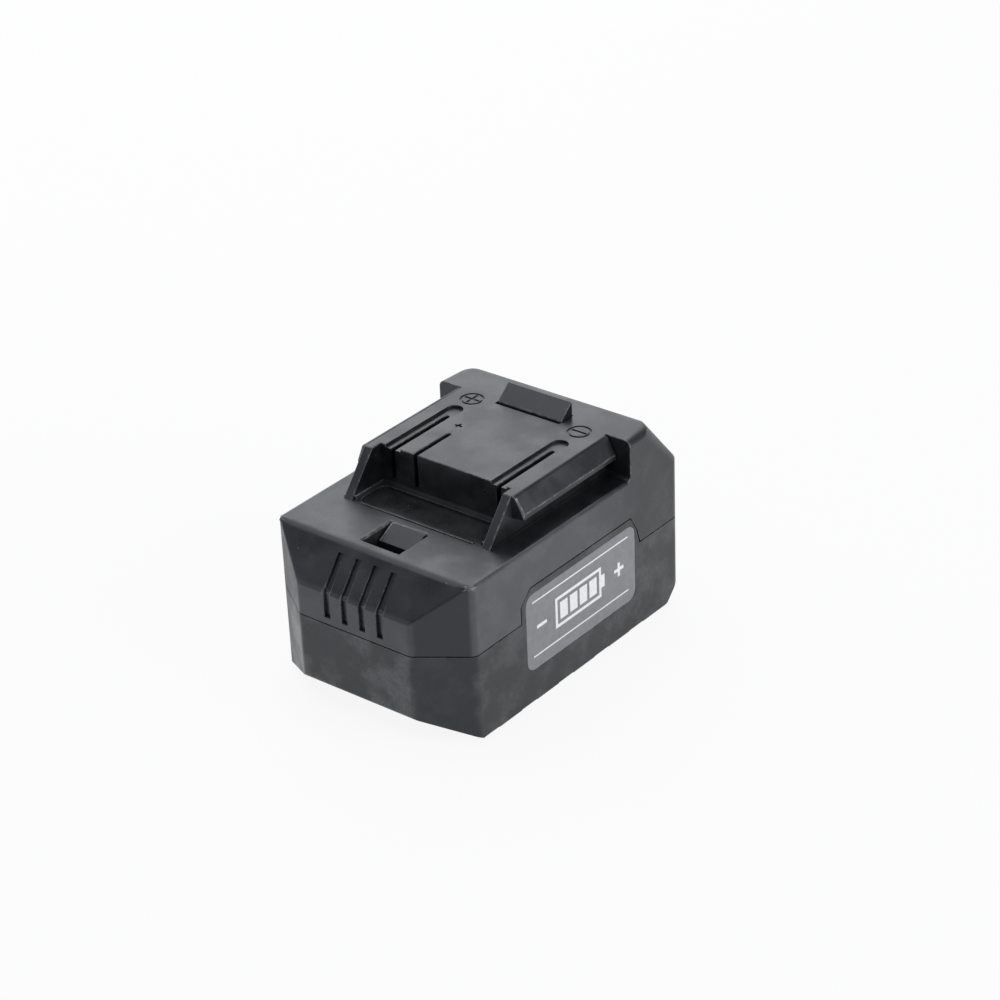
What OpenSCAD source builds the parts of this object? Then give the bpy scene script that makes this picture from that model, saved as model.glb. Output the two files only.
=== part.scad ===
// Slide-on battery pack for a cordless tool: two case halves, ten cells, protection board,
// fork contacts and a sprung latch. Millimetres, +Z up, Y along the slide.
// The origin is at the centre of the bottom; the end that enters the tool first faces -Y.

/* [Case] */
// Width across the sides
pack_w = 77.8; // [70:0.2:90]
// Length along the slide
pack_l = 118.2; // [106:0.2:130]
// Thickness of the case walls
wall = 2.4; // [2:0.1:2.8]
// Height of the joint between the case halves
parting_z = 31.1; // [26:0.1:33]
// Height of the front deck and of the shelves under the rails
deck_z = 55.8; // [53:0.2:60]
// Height of the terminal deck and of the end wall
top_z = 69.6; // [67:0.2:76]
// Corner cut of the front end, across the width
corner_w = 16.6; // [10:0.2:17]
// Corner cut of the front end, along the length
corner_l = 11.4; // [8:0.2:13]
// Radius of the upright edges
edge_r = 3; // [1:0.5:5]
// Radius of the upright back edges and of the slope's side edges
back_r = 3.4; // [1:0.2:5]
// Radius of the edges that run across the width
brow_r = 1.6; // [0.5:0.1:3]
// Radius of the upper edges that run along the length
side_r = 1.2; // [0.4:0.1:2]
// Radius of the end wall's upper side edges
crown_r = 2.2; // [0.4:0.1:3]
// Radius of the ridges between the facet and the front corners
ridge_r = 1.4; // [0.4:0.1:2]
// Radius of the bottom edges
foot_r = 1.2; // [0.4:0.1:2]
// Height at which the front facet starts to lean back
facet_z = 42.4; // [38:0.2:46]
// Distance that the facet leans back
facet_l = 10.8; // [7:0.2:12]
// Height of the slope under the front end
toe_z = 8.6; // [5:0.2:10]
// Length of the slope under the front end
toe_l = 15; // [8:0.2:17]
// Height and length of the slope under the back end
heel = 8; // [2:0.5:9]
// Length of the end wall at the trailing end
end_wall_l = 26.4; // [22:0.2:28]
// Length of the slope at the top of the trailing end
slope_l = 12.4; // [9:0.1:14]
// Height of that slope
slope_h = 16.6; // [14:0.1:18]

/* [Seam and tabs] */
// Height of the shadow line along the joint
seam_h = 0.4; // [0.2:0.1:0.8]
// Depth of the shadow line
seam_d = 0.6; // [0.3:0.1:0.9]
// Height of the tongue inside the joint
tongue_h = 1.5; // [1:0.1:3]
// Thickness of the tongue
tongue_t = 1; // [0.8:0.1:1.2]
// Play round the tongue and round other moulded fits
fit = 0.1; // [0.05:0.05:0.2]
// Where the side tab starts, from the front end
tab_y = 34.2; // [32:0.2:40]
// Length of the tab at the joint
tab_l = 61.8; // [58:0.2:66]
// Height of the tab above the joint
tab_h = 10.8; // [9.5:0.1:13]
// Lean of the tab's corners
tab_lean = 4.6; // [2:0.2:6]

/* [Label] */
// Length of the label
label_l = 57; // [40:0.5:58]
// Height of the label
label_h = 27.4; // [20:0.2:29]
// Start of the label, from the front end
label_y = 36.4; // [36:0.1:38]
// Height of the label's lower edge
label_z = 12; // [9:0.1:13]
// Thickness of the label
label_t = 0.6; // [0.4:0.1:1]
// Corner radius of the label
label_r = 3.6; // [2:0.2:6]

/* [Bottom edge notches] */
// Length of one notch
notch_l = 8; // [6:0.5:12]
// Height of a notch
notch_h = 0.9; // [0.6:0.1:1.4]
// Depth of a notch into the side
notch_d = 3; // [1.5:0.5:5]
// Distance from a notch to the cell behind it
notch_lead = 3.2; // [0:0.2:5]

/* [Front grooves] */
// Number of grooves
groove_count = 4; // [2:1:5]
// Distance between grooves
groove_pitch = 7.05; // [5.5:0.05:7.5]
// Width of a groove
groove_w = 2.4; // [1.5:0.1:3]
// Depth of a groove
groove_d = 1.1; // [0.6:0.1:1.4]
// Height of the lower end of the grooves above the joint
groove_foot = 2.6; // [1.5:0.1:4]
// Height of the upper end of the grooves above the start of the facet
groove_rise = 10.2; // [6:0.2:11]

/* [Catch pocket] */
// Width of the pocket in the front deck
pocket_w = 15; // [12:0.5:18]
// Length of the pocket
pocket_l = 13.8; // [12:0.2:15]
// Distance from the front end to the pocket
pocket_y = 14.6; // [14:0.2:16]
// Depth of the pocket at its front
pocket_d = 8.4; // [7:0.2:9]
// Drop of the ramp over its length
ramp_drop = 6.4; // [5:0.2:7]
// Gap round the ramp
ramp_gap = 0.8; // [0.5:0.1:1.5]

/* [Rails] */
// Width of the terminal deck between the rails' upper edges
deck_w = 60.6; // [60:0.2:66]
// Width over the rails
rail_w = 67; // [66:0.2:70]
// Height of the rails' leaning face
rail_drop = 6.1; // [5:0.1:7]
// Radius of the rails' upper edge
rail_r = 1.5; // [0.5:0.1:1.6]
// Thickness of the rails' lower edge
rail_lip = 1.6; // [0.8:0.1:2]
// Width between the grooves
neck_w = 58.8; // [56:0.2:59]
// Thickness of the walls of the terminal block
block_wall = 2; // [1.6:0.1:2.4]
// Thickness of the terminal deck
roof = 3.4; // [3:0.1:3.6]
// Start of the terminal block, from the front end
block_y = 47.1; // [46:0.1:49]
// Start of the rails, from the front end
rail_y = 43; // [42:0.2:46]
// Gap between the rails and the end wall
rail_end = 0.6; // [0.6:0.1:2]
// Length of the rails' lead-in
rail_lead = 0.8; // [0.6:0.2:4]
// Start of the fins, from the front end
fin_y = 31.4; // [30:0.2:34]
// Width of a fin
fin_w = 3.2; // [2.4:0.1:4]
// Width of the ledge at the foot of the block
ledge_w = 1.6; // [1:0.1:2.5]
// Height of the ledge
ledge_h = 1.3; // [0.6:0.1:2]
// Depth of the bare panel in front of the block
panel_d = 0.9; // [0.3:0.1:1]
// Corner radius of the bare panel
panel_r = 3; // [1:0.2:4]
// Length of the bare panel
panel_l = 14.4; // [10:0.2:15]
// Size of the bead at the foot of the rails
bead = 0.7; // [0.4:0.1:1]

/* [Contacts] */
// Distance of the power contacts from the middle
contact_x = 21.3; // [20:0.1:22]
// Width of the recess over a power contact
recess_w = 6; // [5:0.1:7]
// Depth of that recess
recess_d = 2; // [1:0.1:2]
// Length of that recess
recess_l = 34; // [30:0.2:35]
// Width of the slot for the tool's blade
blade_w = 1.6; // [1.6:0.1:2.6]
// Length of the blade slot
blade_l = 28; // [24:0.2:29]
// Height of the blade slot
blade_h = 12; // [10:0.5:13]
// Distance of the signal contact from the middle
signal_x = 12; // [11:0.1:13]
// Width of the signal slot
signal_w = 1.6; // [1.2:0.1:2]
// Length of the signal slot
signal_l = 17.4; // [14:0.2:20]
// Thickness of the contacts' sheet
sheet_t = 0.8; // [0.5:0.1:1]
// Length of a contact's leaves
leaf_l = 16; // [12:0.5:18]
// Height of a contact's leaves
leaf_h = 9; // [7:0.5:10]

/* [Latch] */
// Width of the hook
hook_w = 25.8; // [20:0.2:26]
// Length of the hook
hook_l = 6.6; // [5:0.2:7]
// Height of the hook above the deck
hook_h = 5; // [4:0.1:5.4]
// Distance that the hook starts in front of the end wall
hook_lead = 2.4; // [2:0.2:4]
// Travel of the latch
latch_travel = 5.4; // [4.5:0.1:5.6]
// Gap round the latch where it passes the case
latch_gap = 0.3; // [0.2:0.05:0.5]
// Width of the thumb button
button_w = 27.2; // [22:0.2:28]
// Height of the thumb button
button_h = 14.4; // [12:0.2:15]
// Height of the button's face below its ledge
face_h = 6; // [5:0.2:7]
// Depth of the thumb ledge
thumb_l = 6.4; // [5:0.2:7]
// Distance of the button's face inside the back of the case
face_inset = 1; // [0.4:0.1:1.4]
// Thickness of the skirt behind the back wall
skirt_t = 2.2; // [1.6:0.1:2.4]
// Length of the skirt below the button
skirt_h = 9; // [8:0.2:10]
// Thickness of the bridge from hook to button
bridge_h = 8; // [7:0.2:9]
// Distance from the terminal deck's underside down to the bridge's lower side
bridge_drop = 12; // [11.4:0.1:13]
// Distance from the top of the case down to the button's upper edge
button_drop = 5.5; // [5:0.1:6.5]
// Width of the ears that stop the latch
ear_w = 3; // [2:0.1:3.4]
// Gap between the spring plate and its neighbours
plate_gap = 0.8; // [0.6:0.1:1]

/* [Latch springs] */
// Outer diameter of a spring
spring_d = 6; // [5:0.1:6.4]
// Diameter of the spring wire
spring_wire = 0.7; // [0.5:0.05:0.8]
// Number of curls
spring_turns = 7; // [5:1:8]
// Distance of a spring from the middle
spring_x = 8; // [6:0.5:9]
// Depth of the spring bores in the latch
spring_bore_h = 6.2; // [5:0.2:7]
// Thickness of the spring plate
retainer_t = 2; // [1.6:0.2:2.4]
// Length of the spring plate
retainer_l = 8; // [7.4:0.1:8.4]
// Height of the pegs in the springs
peg_h = 4; // [2:0.2:5]

/* [Cells] */
// Room between the insulating sheets and the side walls
side_room = 3.3; // [1.5:0.1:4]
// Distance from the ends of the case to the axes of the end cells
cell_inset = 21.1; // [19.6:0.1:22]
// Gap between neighbouring cells
cell_gap = 0.7; // [0.4:0.1:1.5]
// Height of the lower cells' axis
cell_z = 13; // [12.8:0.1:14]
// Distance from the front deck down to the upper cells' axis
upper_drop = 23.8; // [22:0.1:24]
// Depth of the holders round the cells' ends
holder_l = 6.4; // [5:0.2:7]
// Wall of the holders round a cell
holder_wall = 1.1; // [0.8:0.1:1.2]
// Thickness of the nickel strips
strip_t = 0.3; // [0.2:0.05:0.5]
// Width of the nickel strips
strip_w = 10; // [8:0.5:12]
// Width of the strips' tabs on the board
strip_tab = 4; // [3:0.2:5]
// Thickness of the insulating sheets
paper_t = 0.4; // [0.3:0.05:0.6]

/* [Board] */
// Room between the board and the side walls
board_room = 4.5; // [3.5:0.1:5]
// Distance that the board reaches in front of the terminal block
board_lead = 14; // [12:0.5:15]
// Length of the board
board_l = 51; // [48:0.5:52]
// Thickness of the board
board_t = 1.6; // [1:0.1:2]
// Height of the posts under the board
post_h = 2; // [1.5:0.1:3]
// Diameter of the posts
post_d = 5; // [4.6:0.1:6]

/* [Board parts] */
// Side of the controller chip
chip_w = 7; // [5:0.5:8]
// Height of the controller chip
chip_h = 1.2; // [0.8:0.1:2]
// Distance of the chip from the middle
chip_x = 10; // [9:0.5:11]
// Width of a power switch
switch_w = 6.6; // [5:0.2:7]
// Length of a power switch
switch_l = 9; // [7:0.5:10]
// Height of a power switch
switch_h = 2.3; // [1:0.1:3]
// Distance of the first power switch from the middle
switch_x = 4; // [3:0.5:6]
// Distance between the power switches
switch_pitch = 10; // [8:0.5:12]
// Length of the shunt
shunt_l = 6; // [4:0.5:6.5]
// Width of the shunt
shunt_w = 3.2; // [2:0.1:5]
// Height of the shunt
shunt_h = 0.9; // [0.5:0.1:1.5]
// Distance of the shunt from the middle
shunt_x = 19; // [18:0.5:24]
// Length of a balance resistor
resistor_l = 3.2; // [2:0.1:4]
// Width of a balance resistor
resistor_w = 1.6; // [1:0.1:2]
// Height of a balance resistor
resistor_h = 0.7; // [0.4:0.1:1]
// Distance between the balance resistors
resistor_pitch = 5; // [4.5:0.1:6]
// Thickness of the thermistor's bead
bead_d = 2.6; // [2:0.1:2.8]
// Distance between the thermistor's leads
lead_pitch = 2.4; // [1.5:0.1:4]
// Thickness of a lead
lead_d = 0.6; // [0.4:0.1:0.8]

/* [Screws] */
// Diameter of the case screws
screw_d = 2.9; // [2.5:0.1:3.2]
// Length of the case screws
screw_l = 30; // [26:1:32]
// Diameter of a screw head
head_d = 5.4; // [5:0.1:5.8]
// Height of a screw head
head_h = 2; // [1.6:0.1:2.4]
// Depth of the wells that the case screws sit in
well_h = 9; // [8.5:0.5:11]
// Diameter of the screw posts
boss_d = 6.4; // [5.8:0.1:6.8]
// Distance of the case screws from the middle
boss_x = 21; // [20:0.5:22]
// Distance of the case screws from the ends
boss_y = 6.4; // [6:0.1:6.6]
// Diameter of the small screws
small_screw_d = 2.2; // [1.8:0.1:2.4]
// Length of the small screws
small_screw_l = 8; // [6:0.5:9]
// Diameter of a small screw's head
small_head_d = 4; // [3.4:0.1:4.4]
// Height of a small screw's head
small_head_h = 1.2; // [0.8:0.1:1.4]
// Play round a screw
screw_fit = 0.05; // [0.03:0.01:0.1]

/* [Hidden] */
$fn = 48;

half_w = pack_w / 2;
wall_y = pack_l - end_wall_l;
slope_z = top_z - slope_h;
fin_in = neck_w / 2 - fin_w;
roof_z = top_z - roof;
// Ten cells in two layers fill the case: 18.3 mm thick and 65 mm long at the sizes above
cells_long = 5;
cells_high = 2;
cell_l = pack_w - 2 * (wall + side_room + paper_t + strip_t);
cell_pitch = (pack_l - 2 * cell_inset) / (cells_long - 1);
layer_pitch = (deck_z - upper_drop - cell_z) / (cells_high - 1);
cell_d = min(cell_pitch, layer_pitch) - cell_gap;
cell_face = cell_l / 2;
upper_z = deck_z - upper_drop;
cells_top = upper_z + cell_d / 2;
holder_r = cell_d / 2 + screw_fit + holder_wall;
holder_top = upper_z + holder_r;
strip_face = cell_face + strip_t;
paper_face = strip_face + paper_t;
board_z = holder_top + post_h;
board_top = board_z + board_t;
board_w = pack_w - 2 * (wall + board_room);
board_y = block_y - board_lead;
board_end = board_y + board_l;
hook_y = wall_y - hook_lead;
hook_end = hook_y + hook_l;
retainer_z = cells_top + plate_gap + 0.2;
retainer_top = retainer_z + retainer_t;
retainer_y = hook_end + plate_gap;
spring_y = retainer_y + retainer_l / 2;
bridge_z = roof_z - bridge_drop;
spring_top = bridge_z + spring_bore_h;
spring_l = spring_top - retainer_top;
button_top = top_z - button_drop;
button_low = button_top - button_h;
ledge_z = button_low + face_h;
back_in = pack_l - wall;

// Vectors and outlines
function unit(v) = v / norm(v);
function to_left(v) = [-v[1], v[0]];
function before(list, i) = list[(i + len(list) - 1) % len(list)];
function after(list, i) = list[(i + 1) % len(list)];

// Moves every side of an outline inwards; the outline runs anticlockwise
function inset(points, d) = [
    for (i = [0 : len(points) - 1])
        let (a = to_left(unit(points[i] - before(points, i))))
        let (b = to_left(unit(after(points, i) - points[i])))
        points[i] + d * (a + b) / (1 + a * b)
];

// Arc that rounds the corner b between a and c
function corner_arc(a, b, c, r, steps) =
    let (u = unit(a - b))
    let (w = unit(c - b))
    let (half = acos(u * w) / 2)
    let (centre = b + unit(u + w) * r / sin(half))
    let (start = b + u * r / tan(half) - centre)
    let (turn = (u[0] * w[1] - u[1] * w[0] > 0 ? -1 : 1) * (180 - 2 * half))
    [
        for (k = [0 : steps])
            let (s = turn * k / steps)
            centre + [start[0] * cos(s) - start[1] * sin(s), start[0] * sin(s) + start[1] * cos(s)]
    ];

// Rounds each corner of an outline by its own radius; zero leaves it sharp
function rounded(points, radii, steps = 6) = [
    for (i = [0 : len(points) - 1])
        each (radii[i] <= 0
            ? [points[i]]
            : corner_arc(before(points, i), points[i], after(points, i), radii[i], steps))
];

// Outline of the case from above, moved in by d
function plan(d) = rounded(
    inset(
        [
            [half_w - corner_w, 0], [half_w, corner_l], [half_w, pack_l],
            [-half_w, pack_l], [-half_w, corner_l], [corner_w - half_w, 0]
        ],
        d
    ),
    [for (i = [0 : 5]) max(0.4, (i == 2 || i == 3 ? back_r : edge_r) - d)]
);

// Outline of the case from the side as [y, z], moved in by d
function profile(d) = rounded(
    inset(
        [
            [toe_l, 0], [pack_l - heel, 0], [pack_l, heel], [pack_l, slope_z],
            [pack_l - slope_l, top_z], [wall_y, top_z], [wall_y, deck_z],
            [facet_l, deck_z], [0, facet_z], [0, toe_z]
        ],
        d
    ),
    [brow_r, brow_r, brow_r, 2 * brow_r, brow_r, 0, brow_r, brow_r, brow_r, brow_r]
);

// Outline of the side tab as [y, z], grown by g
function tab_outline(g) = [
    [tab_y - g, parting_z - 1], [tab_y + tab_l + g, parting_z - 1],
    [tab_y + tab_l + g, parting_z + g], [tab_y + tab_l - 1.6 + g, parting_z + tab_h / 2],
    [tab_y + tab_l - tab_lean, parting_z + tab_h + g], [tab_y + tab_lean, parting_z + tab_h + g],
    [tab_y - g, parting_z + tab_h - tab_lean]
];

// Stands a [y, z] outline up as a prism of width w, centred on the middle plane
module side_prism(points, w) {
    translate([-w / 2, 0, 0])
        rotate([90, 0, 90])
            linear_extrude(w) polygon(points);
}

// Runs an [x, z] outline along the pack from y0 to y1
module long_prism(points, y0, y1) {
    translate([0, y1, 0])
        rotate([90, 0, 0])
            linear_extrude(y1 - y0) polygon(points);
}

module plan_prism(d, z0, z1) {
    translate([0, 0, z0])
        linear_extrude(z1 - z0) polygon(plan(d));
}

module both_sides() {
    children();
    mirror([1, 0, 0]) children();
}

// Box given by its low and high corners
module block(low, high) {
    translate(low) cube(high - low);
}

// Upright cylinder from z0 to z1
module post(x, y, z0, z1, d) {
    translate([x, y, z0]) cylinder(h = z1 - z0, d = d);
}

// Puts the front end at its place ahead of the origin
module placed() {
    translate([0, -pack_l / 2, 0]) children();
}

// Outline of the case from the front as [x, z], up to the height top with edges of radius r, moved in by d
function section(top, r, d) = rounded(
    inset([[-half_w, 0], [half_w, 0], [half_w, top], [-half_w, top]], d),
    [foot_r, foot_r, r, r]
);

// Everything under the slope of the trailing end, with its side edges rounded, moved in by d
module under_slope(d) {
    deep = 2 * pack_l;
    outline = inset([[-half_w, -deep], [half_w, -deep], [half_w, 0], [-half_w, 0]], d);
    r = max(0.4, back_r - d);
    translate([0, pack_l - slope_l, top_z])
        rotate([atan2(slope_l, slope_h), 0, 0])
            translate([0, 0, -pack_l])
                linear_extrude(deep) polygon(rounded(outline, [0, 0, r, r]));
}

// Everything behind the ridge between the right front corner and the facet, moved in by d
module behind_ridge(d) {
    side = unit([corner_l, -corner_w, 0]);
    front = unit([0, facet_z - deck_z, facet_l]);
    along = unit(cross(front, side));
    open = 180 - acos(side * front);
    far = 2 * pack_l;
    outline = [[0, 0], [far, 0], [far, far], far * [cos(open), sin(open)]];
    translate([half_w - corner_w, 0, facet_z] - d * (side + front) / (1 + side * front))
        rotate([0, acos(along[2]), atan2(along[1], along[0])])
            translate([0, 0, -far])
                linear_extrude(2 * far) polygon(rounded(outline, [max(0.4, ridge_r - d), 0, 0, 0]));
}

// Case form with every side moved in by d
module case_form(d, z0, z1) {
    intersection() {
        plan_prism(d, z0, z1);
        side_prism(profile(d), pack_w + 2);
        under_slope(d);
        behind_ridge(d);
        mirror([1, 0, 0]) behind_ridge(d);
        union() {
            long_prism(section(deck_z, side_r, d), -1, pack_l + 1);
            long_prism(section(top_z, crown_r, d), wall_y - brow_r - 0.2, pack_l + 1);
        }
    }
}

// Places of the four case screws
module at_case_screws() {
    for (x = [-boss_x, boss_x], y = [boss_y, pack_l - boss_y])
        translate([x, y, 0]) children();
}

function cell_y(i) = pack_l / 2 + (i - (cells_long - 1) / 2) * cell_pitch;

// Lower half of the case: tub, tabs, joint tongue, screw posts and ribs
module lower_case() {
    color("#34363a")
    difference() {
        union() {
            difference() {
                union() {
                    case_form(0, 0, parting_z);
                    intersection() {
                        case_form(0, parting_z - 1, deck_z);
                        side_prism(tab_outline(0), pack_w + 2);
                    }
                    plan_prism(wall - tongue_t, parting_z - 1, parting_z + tongue_h);
                }
                case_form(wall, 0, deck_z);
            }
            intersection() {
                case_form(0, 0, parting_z);
                at_case_screws() cylinder(h = parting_z, d = boss_d + 1.4);
            }
            // Ribs that hold the insulating sheets
            both_sides()
                for (i = [0 : cells_long - 1])
                    block(
                        [paper_face + fit, cell_y(i) - 0.7, wall / 2],
                        [half_w - wall / 2, cell_y(i) + 0.7, parting_z - 2]
                    );
        }
        at_case_screws() {
            translate([0, 0, -1]) cylinder(h = well_h + 1, d = head_d + 0.4);
            cylinder(h = pack_l, d = screw_d + 2 * screw_fit);
        }
        both_sides()
            for (i = [0 : cells_long - 1])
                block(
                    [half_w - notch_d, cell_y(i) - notch_lead - notch_l / 2, -1],
                    [half_w + 1, cell_y(i) - notch_lead + notch_l / 2, notch_h]
                );
        label_pocket();
    }
}

// Rounded outline of the label as [y, z], grown by g
function label_outline(g) = rounded(
    [
        [label_y - g, label_z - g], [label_y + label_l + g, label_z - g],
        [label_y + label_l + g, label_z + label_h + g], [label_y - g, label_z + label_h + g]
    ],
    [for (i = [0 : 3]) label_r]
);

module label_pocket() {
    translate([half_w, 0, 0])
        side_prism(label_outline(fit), 2 * label_t);
}

module label_plate() {
    color("#6f7276")
    translate([half_w - label_t / 2, 0, 0])
        side_prism(label_outline(0), label_t);
}

// Upper half of the case
module upper_case() {
    color("#3a3c40")
    difference() {
        union() {
            difference() {
                case_form(0, parting_z, top_z + 1);
                case_form(wall, 0, top_z);
                plan_prism(wall - tongue_t - fit, parting_z - 1, parting_z + tongue_h + fit);
                side_prism(tab_outline(0), pack_w + 2);
                seam_line();
            }
            terminal_block();
            inner_posts();
        }
        terminal_cavity();
        contact_slots();
        catch_pocket_cut();
        front_grooves();
        panel_recess();
        latch_windows();
        at_case_screws() cylinder(h = well_h + screw_l + 2, d = screw_d + 2 * screw_fit);
        for (x = [-retainer_x(), retainer_x()])
            post(x, spring_y, retainer_z, retainer_z + small_screw_l + 3, small_screw_d + 2 * screw_fit);
    }
    color("#3a3c40") catch_ramp();
}

// Shadow line along the joint and round the tabs
module seam_line() {
    difference() {
        union() {
            plan_prism(-1, parting_z - 1, parting_z + seam_h);
            side_prism(tab_outline(seam_h), pack_w + 4);
        }
        plan_prism(seam_d, 0, top_z);
    }
}

// Neck, rails, fins and ledges that stand on the front deck
module terminal_block() {
    neck = neck_w / 2;
    block([-neck, block_y, deck_z - wall], [neck, wall_y + wall, top_z]);
    both_sides() {
        rail();
        fin();
        // Bead along the foot of the neck
        block([neck - 1, fin_y + 1, deck_z - 1], [neck + bead, wall_y + 1, deck_z + bead / 2]);
        // Ledge at the foot of the fin
        long_prism(
            [
                [fin_in - ledge_w, deck_z - 1], [fin_in + 1, deck_z - 1],
                [fin_in + 1, deck_z + ledge_h], [fin_in - ledge_w / 2, deck_z + ledge_h]
            ],
            block_y - panel_l, block_y + 1
        );
    }
    // Ledge at the foot of the block
    side_prism(
        [
            [block_y - ledge_w, deck_z - 1], [block_y + 1, deck_z - 1],
            [block_y + 1, deck_z + ledge_h], [block_y - ledge_w / 2, deck_z + ledge_h]
        ],
        2 * fin_in + 1
    );
}

module rail() {
    outer = rail_w / 2;
    neck = neck_w / 2;
    lip_top = top_z - rail_drop;
    low = lip_top - rail_lip;
    difference() {
        long_prism(
            rounded(
                [[neck - 1, low], [outer, low], [outer, lip_top], [deck_w / 2, top_z], [neck - 1, top_z]],
                [0, 0, 0, rail_r, 0]
            ),
            rail_y, wall_y - rail_end
        );
        // Lead-in: the rail's front end is cut back towards its outer edge
        translate([0, rail_y, low - 1])
            linear_extrude(top_z)
                polygon([[neck, -1], [outer + 1, -1], [outer + 1, rail_lead], [outer, rail_lead], [neck, 0]]);
    }
}

module fin() {
    translate([fin_in + fin_w / 2, 0, 0])
        side_prism(
            [
                [fin_y, deck_z - 1], [block_y + 1, deck_z - 1], [block_y + 1, top_z],
                [rail_y - fit, top_z], [fin_y, deck_z]
            ],
            fin_w
        );
}

// Space inside the block and behind it, under the terminal deck
module terminal_cavity() {
    half = neck_w / 2 - block_wall;
    block([-half, block_y + block_wall, deck_z - wall - 1], [half, wall_y + wall + 1, roof_z]);
}

module contact_slots() {
    for (x = [-contact_x, contact_x]) {
        // Recess with a round end
        block([x - recess_w / 2, block_y - 1, top_z - recess_d],
              [x + recess_w / 2, block_y + recess_l - recess_w / 2, top_z + 1]);
        post(x, block_y + recess_l - recess_w / 2, top_z - recess_d, top_z + 1, recess_w);
        blade_slot(x, blade_w, blade_l);
    }
    blade_slot(-signal_x, signal_w, signal_l);
}

// Slot through the deck and the front of the block
module blade_slot(x, w, l) {
    block([x - w / 2, block_y - 1, roof_z - 1], [x + w / 2, block_y + l - w / 2, top_z + 1]);
    post(x, block_y + l - w / 2, roof_z - 1, top_z + 1, w);
    block([x - w / 2, block_y - 1, top_z - blade_h], [x + w / 2, block_y + block_wall + 1, top_z + 1]);
}

// Hole of the catch pocket; its tub hangs under the front deck
module catch_pocket_cut() {
    block([-pocket_w / 2, pocket_y, deck_z - pocket_d], [pocket_w / 2, pocket_y + pocket_l, deck_z + 1]);
}

module pocket_tub() {
    block(
        [-pocket_w / 2 - 1.6, pocket_y - 1.6, deck_z - pocket_d - 1.6],
        [pocket_w / 2 + 1.6, pocket_y + pocket_l + 1.6, deck_z - wall / 2]
    );
}

// Ramp inside the pocket, free of its sides
module catch_ramp() {
    side_prism(
        [
            [pocket_y + 2 * ramp_gap, deck_z - pocket_d], [pocket_y + pocket_l, deck_z - pocket_d],
            [pocket_y + pocket_l, deck_z], [pocket_y + 2 * ramp_gap, deck_z - ramp_drop]
        ],
        pocket_w - 2 * ramp_gap
    );
}

// Bent grooves over the front face and the facet
module front_grooves() {
    lean = facet_l / (deck_z - facet_z);
    top = facet_z + groove_rise;
    first = -(groove_count - 1) / 2 * groove_pitch;
    for (i = [0 : groove_count - 1])
        translate([first + i * groove_pitch, 0, 0])
            side_prism(
                [
                    [-1, parting_z + groove_foot], [groove_d, parting_z + groove_foot],
                    [groove_d, facet_z], [groove_d + groove_rise * lean, top],
                    [groove_rise * lean - 2, top + 1], [-1, facet_z]
                ],
                groove_w
            );
}

module panel_recess() {
    side = fin_in - ledge_w;
    front = block_y - panel_l;
    back = block_y - ledge_w;
    translate([0, 0, deck_z - panel_d])
        linear_extrude(wall)
            polygon(rounded(
                [[-side, front], [side, front], [side, back], [-side, back]],
                [for (i = [0 : 3]) panel_r]
            ));
}

// Openings for the hook and for the thumb button
module latch_windows() {
    block(
        [-hook_w / 2 - latch_gap, hook_y - latch_gap, roof_z - 1],
        [hook_w / 2 + latch_gap, hook_end + latch_gap, top_z + 1]
    );
    block(
        [-button_w / 2 - latch_gap, hook_end + retainer_l, button_low - latch_travel - latch_gap],
        [button_w / 2 + latch_gap, pack_l + 1, button_top + latch_gap]
    );
}

// Posts, guides and the pocket's tub inside the upper case
module inner_posts() {
    intersection() {
        case_form(0, parting_z, top_z);
        union() {
            at_case_screws()
                translate([0, 0, parting_z]) cylinder(h = top_z, d = boss_d);
            pocket_tub();
            both_sides() {
                // Posts for the spring plate
                post(retainer_x(), spring_y, retainer_top, top_z - 1, boss_d);
                // Guides beside the latch
                block(
                    [hook_w / 2 + latch_gap, spring_y - 2, bridge_z - 4],
                    [retainer_x(), spring_y + 2, top_z - 1]
                );
                // Feet that hold the cell holders down
                block(
                    [cell_face - holder_l, cell_y(0) - 4, holder_top + latch_gap],
                    [cell_face - 1, cell_y(0) + 4, deck_z - 1]
                );
            }
        }
    }
}

function retainer_x() = hook_w / 2 + latch_gap + boss_d / 2 + 2;

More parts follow.
